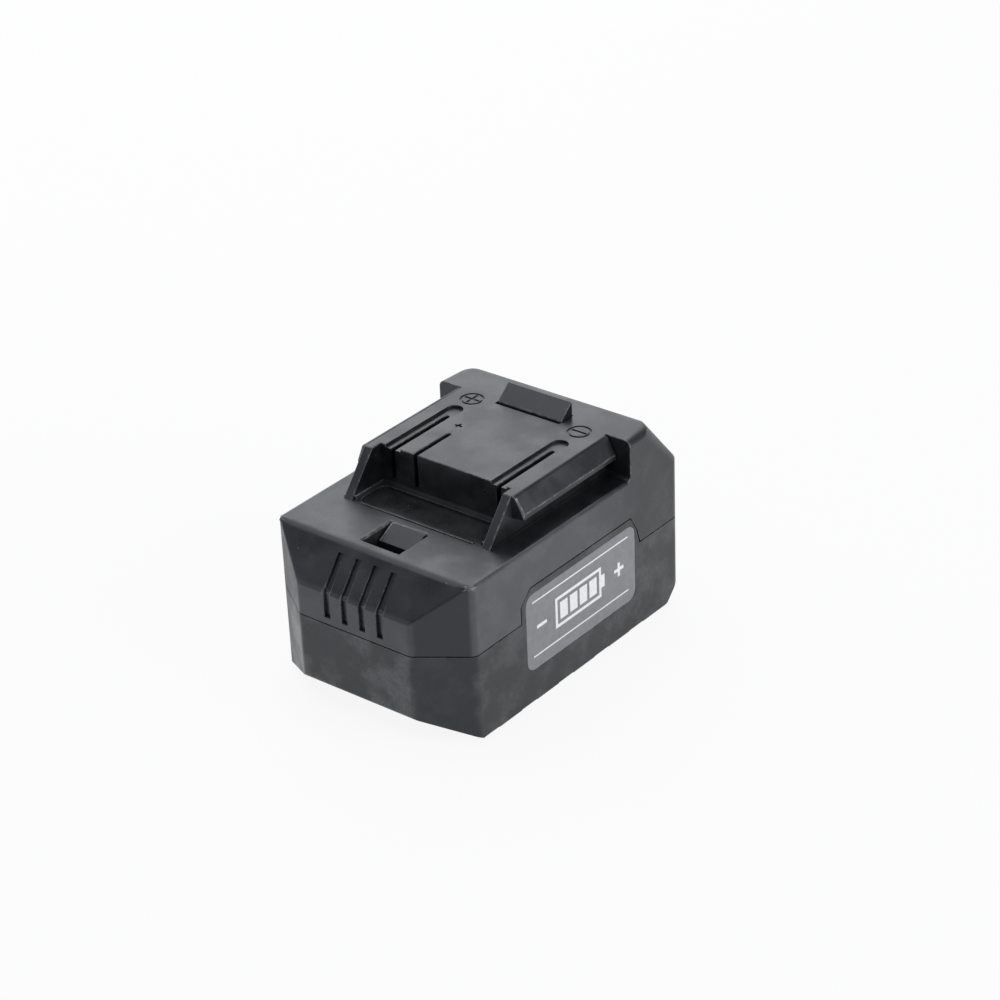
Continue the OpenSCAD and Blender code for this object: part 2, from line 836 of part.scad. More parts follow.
// Hook, bridge and thumb button in one moulding
module latch_button() {
    face_y = pack_l - face_inset;
    thumb_y = retainer_y + retainer_l + latch_gap;
    stop_y = pack_l - slope_l * (button_top - slope_z) / slope_h - 2.2;
    color("#2f323a")
    difference() {
        union() {
            side_prism(
                [
                    [hook_y, bridge_z], [hook_end, bridge_z],
                    [hook_end, top_z + hook_h], [hook_y, top_z - latch_gap]
                ],
                hook_w
            );
            block(
                [-hook_w / 2, hook_y, bridge_z],
                [hook_w / 2, thumb_y + 1, bridge_z + bridge_h]
            );
            side_prism(
                [
                    [thumb_y, button_low], [face_y, button_low], [face_y, ledge_z],
                    [face_y - thumb_l, ledge_z], [stop_y, button_top], [thumb_y, button_top]
                ],
                button_w
            );
            // Grip ridges on the button's face
            for (k = [1 : 3])
                block(
                    [-button_w / 2 + 2, face_y - 1, button_low + (k - 0.2) * face_h / 4],
                    [button_w / 2 - 2, face_y + face_inset / 2, button_low + (k + 0.2) * face_h / 4]
                );
            // Skirt that closes the window below the button, with wings behind the back wall
            block(
                [-button_w / 2, back_in - latch_gap - skirt_t, button_low - skirt_h],
                [button_w / 2, back_in - latch_gap, button_low + face_h / 2]
            );
            block(
                [-button_w / 2 - 2.4, back_in - latch_gap - skirt_t, button_low - skirt_h],
                [button_w / 2 + 2.4, back_in - latch_gap, min(button_low, slope_z - wall)]
            );
            // Ears that stop the latch under the deck
            block(
                [-hook_w / 2 - ear_w, hook_y + plate_gap, roof_z - latch_gap - ear_w],
                [hook_w / 2 + ear_w, hook_end - plate_gap, roof_z - latch_gap]
            );
        }
        for (x = [-spring_x, spring_x])
            post(x, spring_y, bridge_z - 1, spring_top, spring_d + 1);
    }
}

// Points along the axis of a spring's wire
function curl(a) = [
    cos(a) * (spring_d - spring_wire) / 2,
    sin(a) * (spring_d - spring_wire) / 2,
    retainer_top + spring_wire / 2 + fit / 2
        + a / (360 * spring_turns) * (spring_l - spring_wire - fit)
];
spring_rings = 8 * spring_turns;
spring_sides = 6;
spring_axis = [for (i = [0 : spring_rings]) curl(i * 45)];

// Ring of points round the wire where it crosses the upright plane at angle a
function wire_ring(i) = [
    for (k = [0 : spring_sides - 1])
        let (a = i * 45)
        let (b = k * 360 / spring_sides)
        spring_axis[i] + spring_wire / 2 * [cos(a) * cos(b), sin(a) * cos(b), sin(b)]
];

// Least gap between curls, measured between points at least most of a turn apart
spring_gap = min([
    for (i = [0 : spring_rings - 6], j = [i + 6 : spring_rings])
        norm(spring_axis[j] - spring_axis[i])
]) - spring_wire;
echo(spring_gap = spring_gap);

module latch_spring(x) {
    n = spring_sides;
    color("#b9bcc0")
    translate([x, spring_y, 0])
        polyhedron(
            points = [for (i = [0 : spring_rings]) each wire_ring(i)],
            faces = concat(
                [
                    for (i = [0 : spring_rings - 1], k = [0 : n - 1])
                        each [
                            [i * n + k, i * n + (k + 1) % n, (i + 1) * n + k],
                            [i * n + (k + 1) % n, (i + 1) * n + (k + 1) % n, (i + 1) * n + k]
                        ]
                ],
                [for (k = [1 : n - 2]) [0, k + 1, k]],
                [for (k = [1 : n - 2]) [spring_rings * n, spring_rings * n + k, spring_rings * n + k + 1]]
            )
        );
}

// Plate under the latch with a peg for each spring
module latch_retainer() {
    end = retainer_x() + boss_d / 2;
    color("#4a4c50")
    difference() {
        union() {
            block([-end, retainer_y, retainer_z], [end, retainer_y + retainer_l, retainer_top]);
            for (x = [-spring_x, spring_x])
                post(x, spring_y, retainer_z, retainer_top + peg_h, spring_d - 2 * spring_wire - plate_gap);
        }
        for (x = [-retainer_x(), retainer_x()]) {
            post(x, spring_y, retainer_z - 1, retainer_top + 1, small_screw_d + 2 * screw_fit);
            post(x, spring_y, retainer_z - 1, retainer_z + small_head_h, small_head_d + 0.4);
        }
    }
}

// Screw with its head's seat at z = 0 and its shank along +Z
module screw(d, l, cap_d, cap_h) {
    difference() {
        union() {
            cylinder(h = l - d / 2, d = d);
            translate([0, 0, l - d / 2]) cylinder(h = d / 2, d1 = d, d2 = d / 2);
            translate([0, 0, -cap_h]) cylinder(h = cap_h, d = cap_d);
        }
        for (a = [0, 90])
            rotate([0, 0, a])
                translate([-cap_d * 0.32, -cap_d * 0.07, -cap_h - 1])
                    cube([cap_d * 0.64, cap_d * 0.14, 1 + cap_h * 0.6]);
    }
}

module case_screws() {
    color("#8d9094")
    at_case_screws()
        translate([0, 0, well_h]) screw(screw_d, screw_l, head_d, head_h);
}

module retainer_screws() {
    color("#8d9094")
    for (x = [-retainer_x(), retainer_x()])
        translate([x, spring_y, retainer_z + small_head_h])
            screw(small_screw_d, small_screw_l, small_head_d, small_head_h);
}

// Places of the board's screws: over the hollows between the upper cells
module at_board_screws() {
    for (x = [-1, 1], i = [1, 2])
        translate([x * (cell_face - holder_l / 2), (cell_y(i) + cell_y(i + 1)) / 2, 0]) children();
}

module board_screws() {
    color("#8d9094")
    at_board_screws()
        translate([0, 0, board_top])
            rotate([180, 0, 0]) screw(small_screw_d, small_screw_l, small_head_d, small_head_h);
}

// One cell lying across the pack; the crimped end points to +X or -X by turns
module cell(i) {
    column = i % cells_long;
    layer = floor(i / cells_long);
    r = cell_d / 2;
    color(column % 2 == 0 ? "#3f7fa6" : "#3a7598")
    translate([0, cell_y(column), cell_z + layer * layer_pitch])
        rotate([0, column % 2 == 0 ? 90 : -90, 0])
            translate([0, 0, -cell_face])
                rotate_extrude()
                    polygon([
                        [0, 0], [r - 0.5, 0], [r, 0.5], [r, cell_l - 4.4], [r - 0.7, cell_l - 3.8],
                        [r - 0.7, cell_l - 3.2], [r, cell_l - 2.6], [r, cell_l - 0.6], [r - 0.6, cell_l - 0.1],
                        [r - 2, cell_l - 0.1], [r - 2.2, cell_l - 0.6], [r - 3.2, cell_l - 0.6],
                        [r - 3.6, cell_l], [0, cell_l]
                    ]);
}

// Moulded frame round the cells' ends on the +X side
module cell_holder() {
    inner = cell_face - holder_l;
    low = cell_z - holder_r * 0.7;
    high = upper_z + holder_r * 0.7;
    hole = cell_d + 2 * screw_fit;
    difference() {
        intersection() {
            case_form(wall + fit, 0, deck_z);
            union() {
                for (i = [0 : cells_long - 1], j = [0 : cells_high - 1])
                    translate([inner, cell_y(i), cell_z + j * layer_pitch])
                        rotate([0, 90, 0]) cylinder(h = holder_l, r = holder_r);
                block([inner, cell_y(0), low], [cell_face, cell_y(cells_long - 1), high]);
                for (i = [1, 2])
                    post(cell_face - holder_l / 2, (cell_y(i) + cell_y(i + 1)) / 2, high - 1, board_z, post_d);
            }
        }
        for (i = [0 : cells_long - 1], j = [0 : cells_high - 1])
            translate([inner - 1, cell_y(i), cell_z + j * layer_pitch])
                rotate([0, 90, 0]) cylinder(h = holder_l + 2, d = hole);
        for (i = [1, 2])
            post(
                cell_face - holder_l / 2, (cell_y(i) + cell_y(i + 1)) / 2,
                board_top - small_screw_l - 0.5, board_z + 1, small_screw_d + 2 * screw_fit
            );
    }
}

module cell_holder_right() {
    color("#d9dadb") cell_holder();
}

module cell_holder_left() {
    color("#d9dadb") mirror([1, 0, 0]) cell_holder();
}

// Nickel strip on the +X ends of the columns first to last, with a tab folded on to the board
module strip(first, last, tab) {
    x = cell_face;
    top = upper_z + strip_w / 2;
    near = min(max(tab, cell_y(first)), cell_y(last));
    color("#c9cbc6") {
        for (i = [first : last])
            block([x, cell_y(i) - strip_w / 2, cell_z - strip_w / 2], [x + strip_t, cell_y(i) + strip_w / 2, top]);
        for (j = [0 : cells_high - 1])
            block(
                [x, cell_y(first) - strip_w / 2, cell_z + j * layer_pitch - strip_w * 0.3],
                [x + strip_t, cell_y(last) + strip_w / 2, cell_z + j * layer_pitch + strip_w * 0.3]
            );
        // Run to the tab, the tab and its fold
        half = strip_tab / 2;
        block([x, near - half, top - 1], [x + strip_t, near + half, top + strip_tab]);
        block([x, min(near, tab) - half, top + 1], [x + strip_t, max(near, tab) + half, top + strip_tab]);
        block([x, tab - half, top + 1], [x + strip_t, tab + half, board_top + strip_t]);
        block([board_w / 2 - half, tab - half, board_top], [x + strip_t, tab + half, board_top + strip_t]);
    }
}

module strip_right(k) {
    if (k == 1) strip(0, 1, cell_y(1));
    if (k == 2) strip(2, 3, cell_y(2));
    if (k == 3) strip(4, 4, board_end - strip_tab);
}

module strip_left(k) {
    mirror([1, 0, 0]) {
        if (k == 1) strip(0, 0, board_y + strip_tab);
        if (k == 2) strip(1, 2, cell_y(2));
        if (k == 3) strip(3, 4, cell_y(3));
    }
}

// Paper sheet over the strips on the +X side
module insulator() {
    reach = cell_d / 2 - 0.8;
    top = upper_z;
    color("#9fb8a8")
    translate([strip_face + paper_t / 2, 0, 0])
        side_prism(
            rounded(
                [
                    [cell_y(0) - reach, cell_z - reach], [cell_y(cells_long - 1) + reach, cell_z - reach],
                    [cell_y(cells_long - 1) + reach, top + reach], [cell_y(0) - reach, top + reach]
                ],
                [4, 4, 4, 4]
            ),
            paper_t
        );
}

module insulator_right() {
    insulator();
}

module insulator_left() {
    mirror([1, 0, 0]) insulator();
}

module circuit_board() {
    color("#1f6b45")
    difference() {
        block([-board_w / 2, board_y, board_z], [board_w / 2, board_end, board_top]);
        at_board_screws()
            cylinder(h = top_z, d = small_screw_d + 2 * screw_fit);
        // Holes for the thermistor's leads
        for (x = [-lead_pitch / 2, lead_pitch / 2])
            post(x, bead_y, 0, top_z, lead_d + 2 * screw_fit);
    }
}

// Fork contacts: two leaves that pinch the tool's blade, bent up from a foot on the board
contact_y = block_y + block_wall + 1.6;
leaf_top = roof_z - 1.2;
contact_half = 2.2;

module contact(x, t) {
    pinch = 0.4;
    l = leaf_l;
    w = contact_half;
    color("#c79a4a")
    translate([x, contact_y, 0]) {
        translate([0, 0, leaf_top - leaf_h])
            linear_extrude(leaf_h) {
                for (s = [-1, 1])
                    polygon([
                        [s * (w - t), l], [s * (w - t), 0.7 * l], [s * pinch, 0.25 * l], [s * (w - t - 0.2), 0],
                        [s * (w - 0.2), 0], [s * (pinch + t), 0.25 * l], [s * w, 0.7 * l], [s * w, l]
                    ]);
            }
        block([-w, l - t, board_top], [w, l, leaf_top]);
        block([-w, l - 4, board_top], [w, l, board_top + t]);
    }
}

module positive_terminal() {
    contact(-contact_x, sheet_t);
}

module negative_terminal() {
    contact(contact_x, sheet_t);
}

module signal_terminal() {
    contact(-signal_x, sheet_t * 0.75);
}

// Block on the board that keeps the contacts apart
module terminal_holder() {
    half = neck_w / 2 - block_wall - latch_gap;
    front = block_y + block_wall + latch_gap;
    color("#1d1e20")
    difference() {
        block([-half, front, board_top], [half, contact_y + leaf_l + 9, roof_z - latch_gap]);
        for (x = [-contact_x, contact_x, -signal_x])
            block(
                [x - contact_half - fit, front - 1, board_top - 1],
                [x + contact_half + fit, contact_y + leaf_l + fit, top_z]
            );
        at_board_screws()
            translate([0, 0, board_top - 1]) cylinder(h = top_z, d = small_head_d + 2 * latch_gap);
        // Hollow between the signal contact and the far power contact
        block(
            [-signal_x + contact_half + 2, front + 2, board_top - 1],
            [contact_x - contact_half - 2, contact_y + leaf_l + 7, roof_z - 2]
        );
    }
}

// Components on the board in front of and behind the terminal holder
part_y = (board_y + block_y + block_wall) / 2;

module controller_chip() {
    color("#202124")
    block([-chip_x - chip_w / 2, part_y - chip_w / 2, board_top],
          [-chip_x + chip_w / 2, part_y + chip_w / 2, board_top + chip_h]);
}

module power_switches() {
    color("#202124")
    for (k = [0, 1])
        translate([switch_x + k * switch_pitch, part_y, board_top])
            block([-switch_w / 2, -switch_l / 2, 0], [switch_w / 2, switch_l / 2, switch_h]);
}

module shunt_resistor() {
    color("#3b3d40")
    block([-shunt_x - shunt_l / 2, part_y - shunt_w / 2, board_top],
          [-shunt_x + shunt_l / 2, part_y + shunt_w / 2, board_top + shunt_h]);
}

module balance_resistors() {
    color("#3b3d40")
    for (i = [-2 : 2])
        translate([i * resistor_pitch, board_end - 2 * resistor_w, board_top])
            block([-resistor_l / 2, -resistor_w / 2, 0], [resistor_l / 2, resistor_w / 2, resistor_h]);
}

// Bead on the crown of the middle upper cell, with two leads up through the board
bead_y = cell_y(2);
bead_z = cells_top + screw_fit + bead_d / 2;

module thermistor() {
    color("#2a2a2c") {
        translate([-lead_pitch, bead_y, bead_z])
            rotate([0, 90, 0]) cylinder(h = 2 * lead_pitch, d = bead_d);
        for (x = [-lead_pitch / 2, lead_pitch / 2])
            post(x, bead_y, bead_z, board_top + lead_d, lead_d);
    }
}

placed() {
    lower_case();
    upper_case();
    label_plate();
    case_screws();
    latch_button();
    latch_spring(-spring_x);  // latch_spring_left
    latch_spring(spring_x);  // latch_spring_right
    latch_retainer();
    retainer_screws();
    for (i = [0 : cells_long * cells_high - 1])
        cell(i);
    cell_holder_left();
    cell_holder_right();
    for (k = [1 : 3]) {
        strip_left(k);
        strip_right(k);
    }
    insulator_left();
    insulator_right();
    circuit_board();
    board_screws();
    terminal_holder();
    positive_terminal();
    negative_terminal();
    signal_terminal();
    controller_chip();
    power_switches();
    shunt_resistor();
    balance_resistors();
    thermistor();
}
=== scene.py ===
"""Looks of a slide-on battery pack for a cordless tool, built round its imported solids."""
import math

import bmesh
import bpy
from mathutils import Matrix, Vector
from mathutils.bvhtree import BVHTree


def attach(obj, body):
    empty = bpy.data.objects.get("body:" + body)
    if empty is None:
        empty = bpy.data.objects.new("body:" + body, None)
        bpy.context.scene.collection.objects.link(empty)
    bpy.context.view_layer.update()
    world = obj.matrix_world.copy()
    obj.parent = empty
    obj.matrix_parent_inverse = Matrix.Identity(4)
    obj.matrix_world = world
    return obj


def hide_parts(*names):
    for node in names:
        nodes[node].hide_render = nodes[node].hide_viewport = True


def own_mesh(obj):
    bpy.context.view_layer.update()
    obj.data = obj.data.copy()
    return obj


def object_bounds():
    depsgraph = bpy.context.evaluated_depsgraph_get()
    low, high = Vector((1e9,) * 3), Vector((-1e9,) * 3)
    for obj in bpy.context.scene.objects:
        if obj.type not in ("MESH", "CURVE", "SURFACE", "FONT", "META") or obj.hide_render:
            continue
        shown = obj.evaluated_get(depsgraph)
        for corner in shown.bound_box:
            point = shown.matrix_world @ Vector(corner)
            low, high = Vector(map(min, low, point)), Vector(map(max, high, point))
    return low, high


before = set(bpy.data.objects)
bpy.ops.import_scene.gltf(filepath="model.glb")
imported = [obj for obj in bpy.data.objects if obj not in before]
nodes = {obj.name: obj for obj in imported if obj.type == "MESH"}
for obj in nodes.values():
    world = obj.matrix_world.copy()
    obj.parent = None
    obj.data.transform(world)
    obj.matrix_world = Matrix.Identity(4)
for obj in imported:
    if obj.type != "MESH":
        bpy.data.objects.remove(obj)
cad_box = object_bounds()
bpy.ops.object.select_all(action="DESELECT")
mm = 0.001


# Lower half of the case: a tub moulded in charcoal plastic with a fine eroded texture.
# Its front has been rubbed by benches and bags, so cloudy scuffs lie over the grain.
def activate(piece):
    bpy.ops.object.select_all(action="DESELECT")
    piece.select_set(True)
    bpy.context.view_layer.objects.active = piece


merge_distance = 0.04 * mm
same_plane = math.radians(0.6)


def moulded_copy(node, name):
    """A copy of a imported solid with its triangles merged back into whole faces."""
    piece = bpy.data.objects.new(name, nodes[node].data.copy())
    bpy.context.scene.collection.objects.link(piece)
    piece.data.materials.clear()
    activate(piece)
    bpy.ops.mesh.customdata_custom_splitnormals_clear()
    bpy.ops.object.mode_set(mode="EDIT")
    bpy.ops.mesh.select_all(action="SELECT")
    bpy.ops.mesh.remove_doubles(threshold=merge_distance)
    bpy.ops.mesh.dissolve_limited(angle_limit=same_plane)
    bpy.ops.object.mode_set(mode="OBJECT")
    return piece


def whole_pack():
    """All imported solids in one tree, to see which edges lie open."""
    points = []
    faces = []
    for node in nodes.values():
        start = len(points)
        points += [v.co.copy() for v in node.data.vertices]
        faces += [[start + i for i in polygon.vertices] for polygon in node.data.polygons]
    return BVHTree.FromPolygons(points, faces)


packed_solids = whole_pack()
sharp_turn = math.radians(24)
edge_clearance = 0.05 * mm
open_air = 0.3


def soften(piece, width, room, segments=3, wanted=None, wear_and_highlight_value=1.0):
    """Rounds open convex edges whose faces leave room for it, and marks the new faces for edge abrasion and
    a painted highlight.
    """
    activate(piece)
    bpy.ops.object.mode_set(mode="EDIT")
    bpy.ops.mesh.select_mode(type="EDGE")
    bpy.ops.mesh.select_all(action="DESELECT")
    mesh = bmesh.from_edit_mesh(piece.data)
    wear_and_highlight_layer = mesh.faces.layers.float.get("edge_wear_and_highlight") or mesh.faces.layers.float.new("edge_wear_and_highlight")
    for edge in mesh.edges:
        if len(edge.link_faces) != 2 or not edge.is_convex or edge.calc_face_angle() < sharp_turn:
            continue
        length = edge.calc_length()
        if min(face.calc_area() for face in edge.link_faces) < room * mm * length:
            continue
        if any(face[wear_and_highlight_layer] > 0 for face in edge.link_faces):
            continue
        middle = (edge.verts[0].co + edge.verts[1].co) / 2
        outward = (edge.link_faces[0].normal + edge.link_faces[1].normal).normalized()
        if packed_solids.ray_cast(middle + outward * edge_clearance, outward, open_air)[0] is not None:
            continue
        if wanted is None or wanted(*(middle / mm)):
            edge.select_set(True)
    bmesh.update_edit_mesh(piece.data)
    bpy.ops.mesh.bevel(offset=width * mm, segments=segments, profile=0.5, clamp_overlap=False)
    mesh = bmesh.from_edit_mesh(piece.data)
    wear_and_highlight_layer = mesh.faces.layers.float["edge_wear_and_highlight"]
    for face in mesh.faces:
        longest = max(edge.calc_length() for edge in face.edges)
        if face.select and face.calc_area() < width * mm * longest:
            face[wear_and_highlight_layer] = wear_and_highlight_value
    bmesh.update_edit_mesh(piece.data)
    bpy.ops.object.mode_set(mode="OBJECT")
    for vertex in piece.data.vertices:
        vertex.co = [min(max(c, low), high) for c, low, high in zip(vertex.co, *cad_box)]


smooth_turn = math.radians(31)


def finish_shading(piece):
    """Smooth shading that keeps flat faces flat beside their rounded edges."""
    activate(piece)
    bpy.ops.object.mode_set(mode="EDIT")
    bpy.ops.mesh.select_all(action="SELECT")
    bpy.ops.mesh.quads_convert_to_tris(quad_method="BEAUTY", ngon_method="BEAUTY")
    bpy.ops.object.mode_set(mode="OBJECT")
    bpy.ops.object.shade_smooth_by_angle(angle=smooth_turn)
    weighted = piece.modifiers.new("flat_faces", "WEIGHTED_NORMAL")
    weighted.keep_sharp = True
    weighted.weight = 80
    bpy.ops.object.modifier_apply(modifier=weighted.name)


def add_node(tree, kind, **settings):
    node = tree.nodes.new(kind)
    for key, value in settings.items():
        setattr(node, key, value)
    return node


def new_group(name, inputs, outputs):
    """A shader node group with float or vector inputs and float outputs."""
    group = bpy.data.node_groups.new(name, "ShaderNodeTree")
    for label, kind, value in inputs:
        socket = group.interface.new_socket(label, in_out="INPUT", socket_type=kind)
        if value is not None:
            socket.default_value = value
    for label in outputs:
        group.interface.new_socket(label, in_out="OUTPUT", socket_type="NodeSocketFloat")
    return group, group.nodes.new("NodeGroupInput"), group.nodes.new("NodeGroupOutput")


def noise(tree, vector, scale, detail, roughness=0.55):
    node = add_node(tree, "ShaderNodeTexNoise")
    node.inputs["Detail"].default_value = detail
    node.inputs["Roughness"].default_value = roughness
    tree.links.new(vector, node.inputs["Vector"])
    if isinstance(scale, (int, float)):
        node.inputs["Scale"].default_value = scale
    else:
        tree.links.new(scale, node.inputs["Scale"])
    return node.outputs["Fac"]


def remap(tree, value, low, high, to_low=0.0, to_high=1.0):
    node = add_node(tree, "ShaderNodeMapRange", clamp=True, interpolation_type="SMOOTHSTEP")
    tree.links.new(value, node.inputs["Value"])
    for label, number in (("From Min", low), ("From Max", high), ("To Min", to_low), ("To Max", to_high)):
        node.inputs[label].default_value = number
    return node.outputs["Result"]


def math_node(tree, operation, a, b):
    node = add_node(tree, "ShaderNodeMath", operation=operation)
    for socket, value in zip(node.inputs, (a, b)):
        if isinstance(value, (int, float)):
            socket.default_value = value
        else:
            tree.links.new(value, socket)
    return node.outputs["Value"]


# Grain of the eroded mould: fine pits and a slow change of tone
moulded_grain, group_in, group_out = new_group(
    "moulded_grain",
    [("Vector", "NodeSocketVector", None), ("Pits", "NodeSocketFloat", 3200.0)],
    ["Height", "Tone"],
)
pits = noise(moulded_grain, group_in.outputs["Vector"], scale=group_in.outputs["Pits"], detail=2.0)
clouds = noise(moulded_grain, group_in.outputs["Vector"], scale=70.0, detail=5.0)
moulded_grain.links.new(pits, group_out.inputs["Height"])
moulded_grain.links.new(remap(moulded_grain, clouds, 0.3, 0.7), group_out.inputs["Tone"])

# Cloudy scuffs: patches with ragged rims
cloudy_scuffs, group_in, group_out = new_group(
    "cloudy_scuffs",
    [("Vector", "NodeSocketVector", None), ("Patches", "NodeSocketFloat", 95.0)],
    ["Mask"],
)
patches = noise(
    cloudy_scuffs, group_in.outputs["Vector"], scale=group_in.outputs["Patches"], detail=5.0, roughness=0.62
)
streaks = noise(cloudy_scuffs, group_in.outputs["Vector"], scale=900.0, detail=3.0)
patch_mask = remap(cloudy_scuffs, patches, 0.42, 0.66)
streak_mask = remap(cloudy_scuffs, streaks, 0.3, 0.75, 0.55, 1.0)
ragged = math_node(cloudy_scuffs, "MULTIPLY", patch_mask, streak_mask)
cloudy_scuffs.links.new(ragged, group_out.inputs["Mask"])

# Dust: a few pale specks, each in its own cell
dust_specks, group_in, group_out = new_group(
    "dust_specks",
    [("Vector", "NodeSocketVector", None), ("Cells", "NodeSocketFloat", 300.0)],
    ["Mask"],
)
speck = add_node(dust_specks, "ShaderNodeTexVoronoi", feature="F1")
dust_specks.links.new(group_in.outputs["Vector"], speck.inputs["Vector"])
dust_specks.links.new(group_in.outputs["Cells"], speck.inputs["Scale"])
chosen = add_node(dust_specks, "ShaderNodeSeparateColor")
dust_specks.links.new(speck.outputs["Color"], chosen.inputs["Color"])
dot = remap(dust_specks, speck.outputs["Distance"], 0.04, 0.08, 1.0, 0.0)
few = remap(dust_specks, chosen.outputs["Red"], 0.88, 0.9)
dust_specks.links.new(math_node(dust_specks, "MULTIPLY", dot, few), group_out.inputs["Mask"])

# Edge wear and painted highlights: the marked faces, broken up so that both come and go
worn_and_highlit_edges, group_in, group_out = new_group(
    "worn_and_highlit_edges",
    [("Vector", "NodeSocketVector", None), ("Marked", "NodeSocketFloat", 0.0)],
    ["Mask"],
)
breakup_noise = noise(worn_and_highlit_edges, group_in.outputs["Vector"], scale=420.0, detail=4.0, roughness=0.65)
wear_and_highlight_breakup = remap(worn_and_highlit_edges, breakup_noise, 0.4, 0.7, 0.15, 1.0)
wear_and_highlight_mask = math_node(worn_and_highlit_edges, "MULTIPLY", wear_and_highlight_breakup, group_in.outputs["Marked"])
worn_and_highlit_edges.links.new(wear_and_highlight_mask, group_out.inputs["Mask"])


def new_material(name, roughness, metallic=0.0, ior=1.5, sheen=(1.0, 1.0, 1.0)):
    """A material with its shader and the Object coordinates of the piece."""
    material = bpy.data.materials.new(name)
    material.use_nodes = True
    tree = material.node_tree
    shader = tree.nodes["Principled BSDF"]
    shader.inputs["Roughness"].default_value = roughness
    shader.inputs["Metallic"].default_value = metallic
    shader.inputs["IOR"].default_value = ior
    shader.inputs["Specular Tint"].default_value = (*sheen, 1.0)
    coordinates = add_node(tree, "ShaderNodeTexCoord")
    return material, tree, shader, coordinates.outputs["Object"]


def place_group(tree, group, vector, **values):
    node = add_node(tree, "ShaderNodeGroup", node_tree=group)
    tree.links.new(vector, node.inputs["Vector"])
    for label, value in values.items():
        node.inputs[label].default_value = value
    return node


def mix_colours(tree, factor, a, b):
    """Colour a where the factor is 0 and b where it is 1; a may be a socket."""
    node = add_node(tree, "ShaderNodeMix", data_type="RGBA")
    tree.links.new(factor, node.inputs["Factor"])
    for socket, value in ((node.inputs["A"], a), (node.inputs["B"], b)):
        if isinstance(value, tuple):
            socket.default_value = (*value, 1.0)
        else:
            tree.links.new(value, socket)
    return node.outputs["Result"]


def add_bump(tree, shader, height, depth):
    bump = add_node(tree, "ShaderNodeBump")
    bump.inputs["Distance"].default_value = depth * mm
    bump.inputs["Strength"].default_value = 1.0
    tree.links.new(height, bump.inputs["Height"])
    tree.links.new(bump.outputs["Normal"], shader.inputs["Normal"])


def place_on_pack(tree, vector):
    """How far right, how far to either side and how far ahead of the pack's middle a point lies."""
    place = add_node(tree, "ShaderNodeSeparateXYZ")
    tree.links.new(vector, place.inputs["Vector"])
    aside = math_node(tree, "ABSOLUTE", place.outputs["X"], 0.0)
    return place.outputs["X"], aside, math_node(tree, "MULTIPLY", place.outputs["Y"], -1.0)


def sheen_sides_mask(tree, aside, ahead):
    """1 on the upright faces at the pack's sides and front, which get a painted sheen."""
    side_from, side_full = 37.2 * mm, 38.3 * mm
    back_end, back_full = -42 * mm, 0.0
    front_from, front_full, front_share = 57.8 * mm, 58.9 * mm, 0.7
    on_side = remap(tree, aside, side_from, side_full)
    fading_back = remap(tree, ahead, back_end, back_full)
    side_sheen = math_node(tree, "MULTIPLY", on_side, fading_back)
    front_sheen = remap(tree, ahead, front_from, front_full, 0.0, front_share)
    return math_node(tree, "MAXIMUM", side_sheen, front_sheen)


def case_plastic(
    name, dark, light, scuffed, scuff, dust, wear_and_highlight_share, roughness=(0.26, 0.41), pit_depth=0.02, painted_sheen=0.0
):
    """Charcoal moulded plastic: grain, slow mottling, scuffs over part of it, a painted sheen on the sides
    and front, edges with abrasion and painted highlights, and dust.
    """
    # Colours of the painted sheen, of edge wear with its painted highlights, and of dust
    painted_sheen_colour = (0.07, 0.0705, 0.074)
    wear_and_highlight_colour = (0.22, 0.22, 0.226)
    dust_colour = (0.4, 0.4, 0.39)
    material, tree, shader, vector = new_material(name, roughness[1], ior=1.6, sheen=(0.91, 0.935, 1.0))
    grain = place_group(tree, moulded_grain, vector, Pits=3200.0)
    scuffs = place_group(tree, cloudy_scuffs, vector, Patches=95.0)
    specks = place_group(tree, dust_specks, vector, Cells=300.0)
    edges = place_group(tree, worn_and_highlit_edges, vector)
    marked = add_node(tree, "ShaderNodeAttribute", attribute_name="edge_wear_and_highlight")
    tree.links.new(marked.outputs["Fac"], edges.inputs["Marked"])
    colour = mix_colours(tree, grain.outputs["Tone"], dark, light)
    right, aside, ahead = place_on_pack(tree, vector)

    # Painted sheen: the sides and the front are lightened for the bright room they reflect
    sheen_amount = math_node(tree, "MULTIPLY", sheen_sides_mask(tree, aside, ahead), painted_sheen)
    sheen_amount = math_node(tree, "MULTIPLY", sheen_amount, remap(tree, scuffs.outputs["Mask"], 0.0, 0.8, 0.7, 1.0))
    colour = mix_colours(tree, sheen_amount, colour, painted_sheen_colour)

    # Scuffs grow towards the front and spare the chamfered corner on the right
    corner_from, corner_full, corner_share = 21 * mm, 24 * mm, 0.2
    side_from, side_full = 37 * mm, 38.5 * mm
    before_corner = remap(tree, right, corner_from, corner_full, 1.0, corner_share)
    past_corner = remap(tree, right, side_from, side_full, 0.0, 1.0 - corner_share)
    clean_corner = math_node(tree, "ADD", before_corner, past_corner)
    front_from, front_full = 44 * mm, 54 * mm
    scuff_share = math_node(
        tree, "MULTIPLY", remap(tree, ahead, front_from, front_full, *scuff), clean_corner
    )
    # Scuffs, edge wear with its painted highlights, and dust are laid over the colour
    for mask, share, tint in (
        (scuffs.outputs["Mask"], scuff_share, scuffed),
        (edges.outputs["Mask"], wear_and_highlight_share, wear_and_highlight_colour),
        (specks.outputs["Mask"], dust, dust_colour),
    ):
        colour = mix_colours(tree, math_node(tree, "MULTIPLY", mask, share), colour, tint)
    tree.links.new(colour, shader.inputs["Base Color"])
    tree.links.new(remap(tree, grain.outputs["Tone"], 0.0, 1.0, *roughness), shader.inputs["Roughness"])
    add_bump(tree, shader, grain.outputs["Height"], pit_depth)
    return material


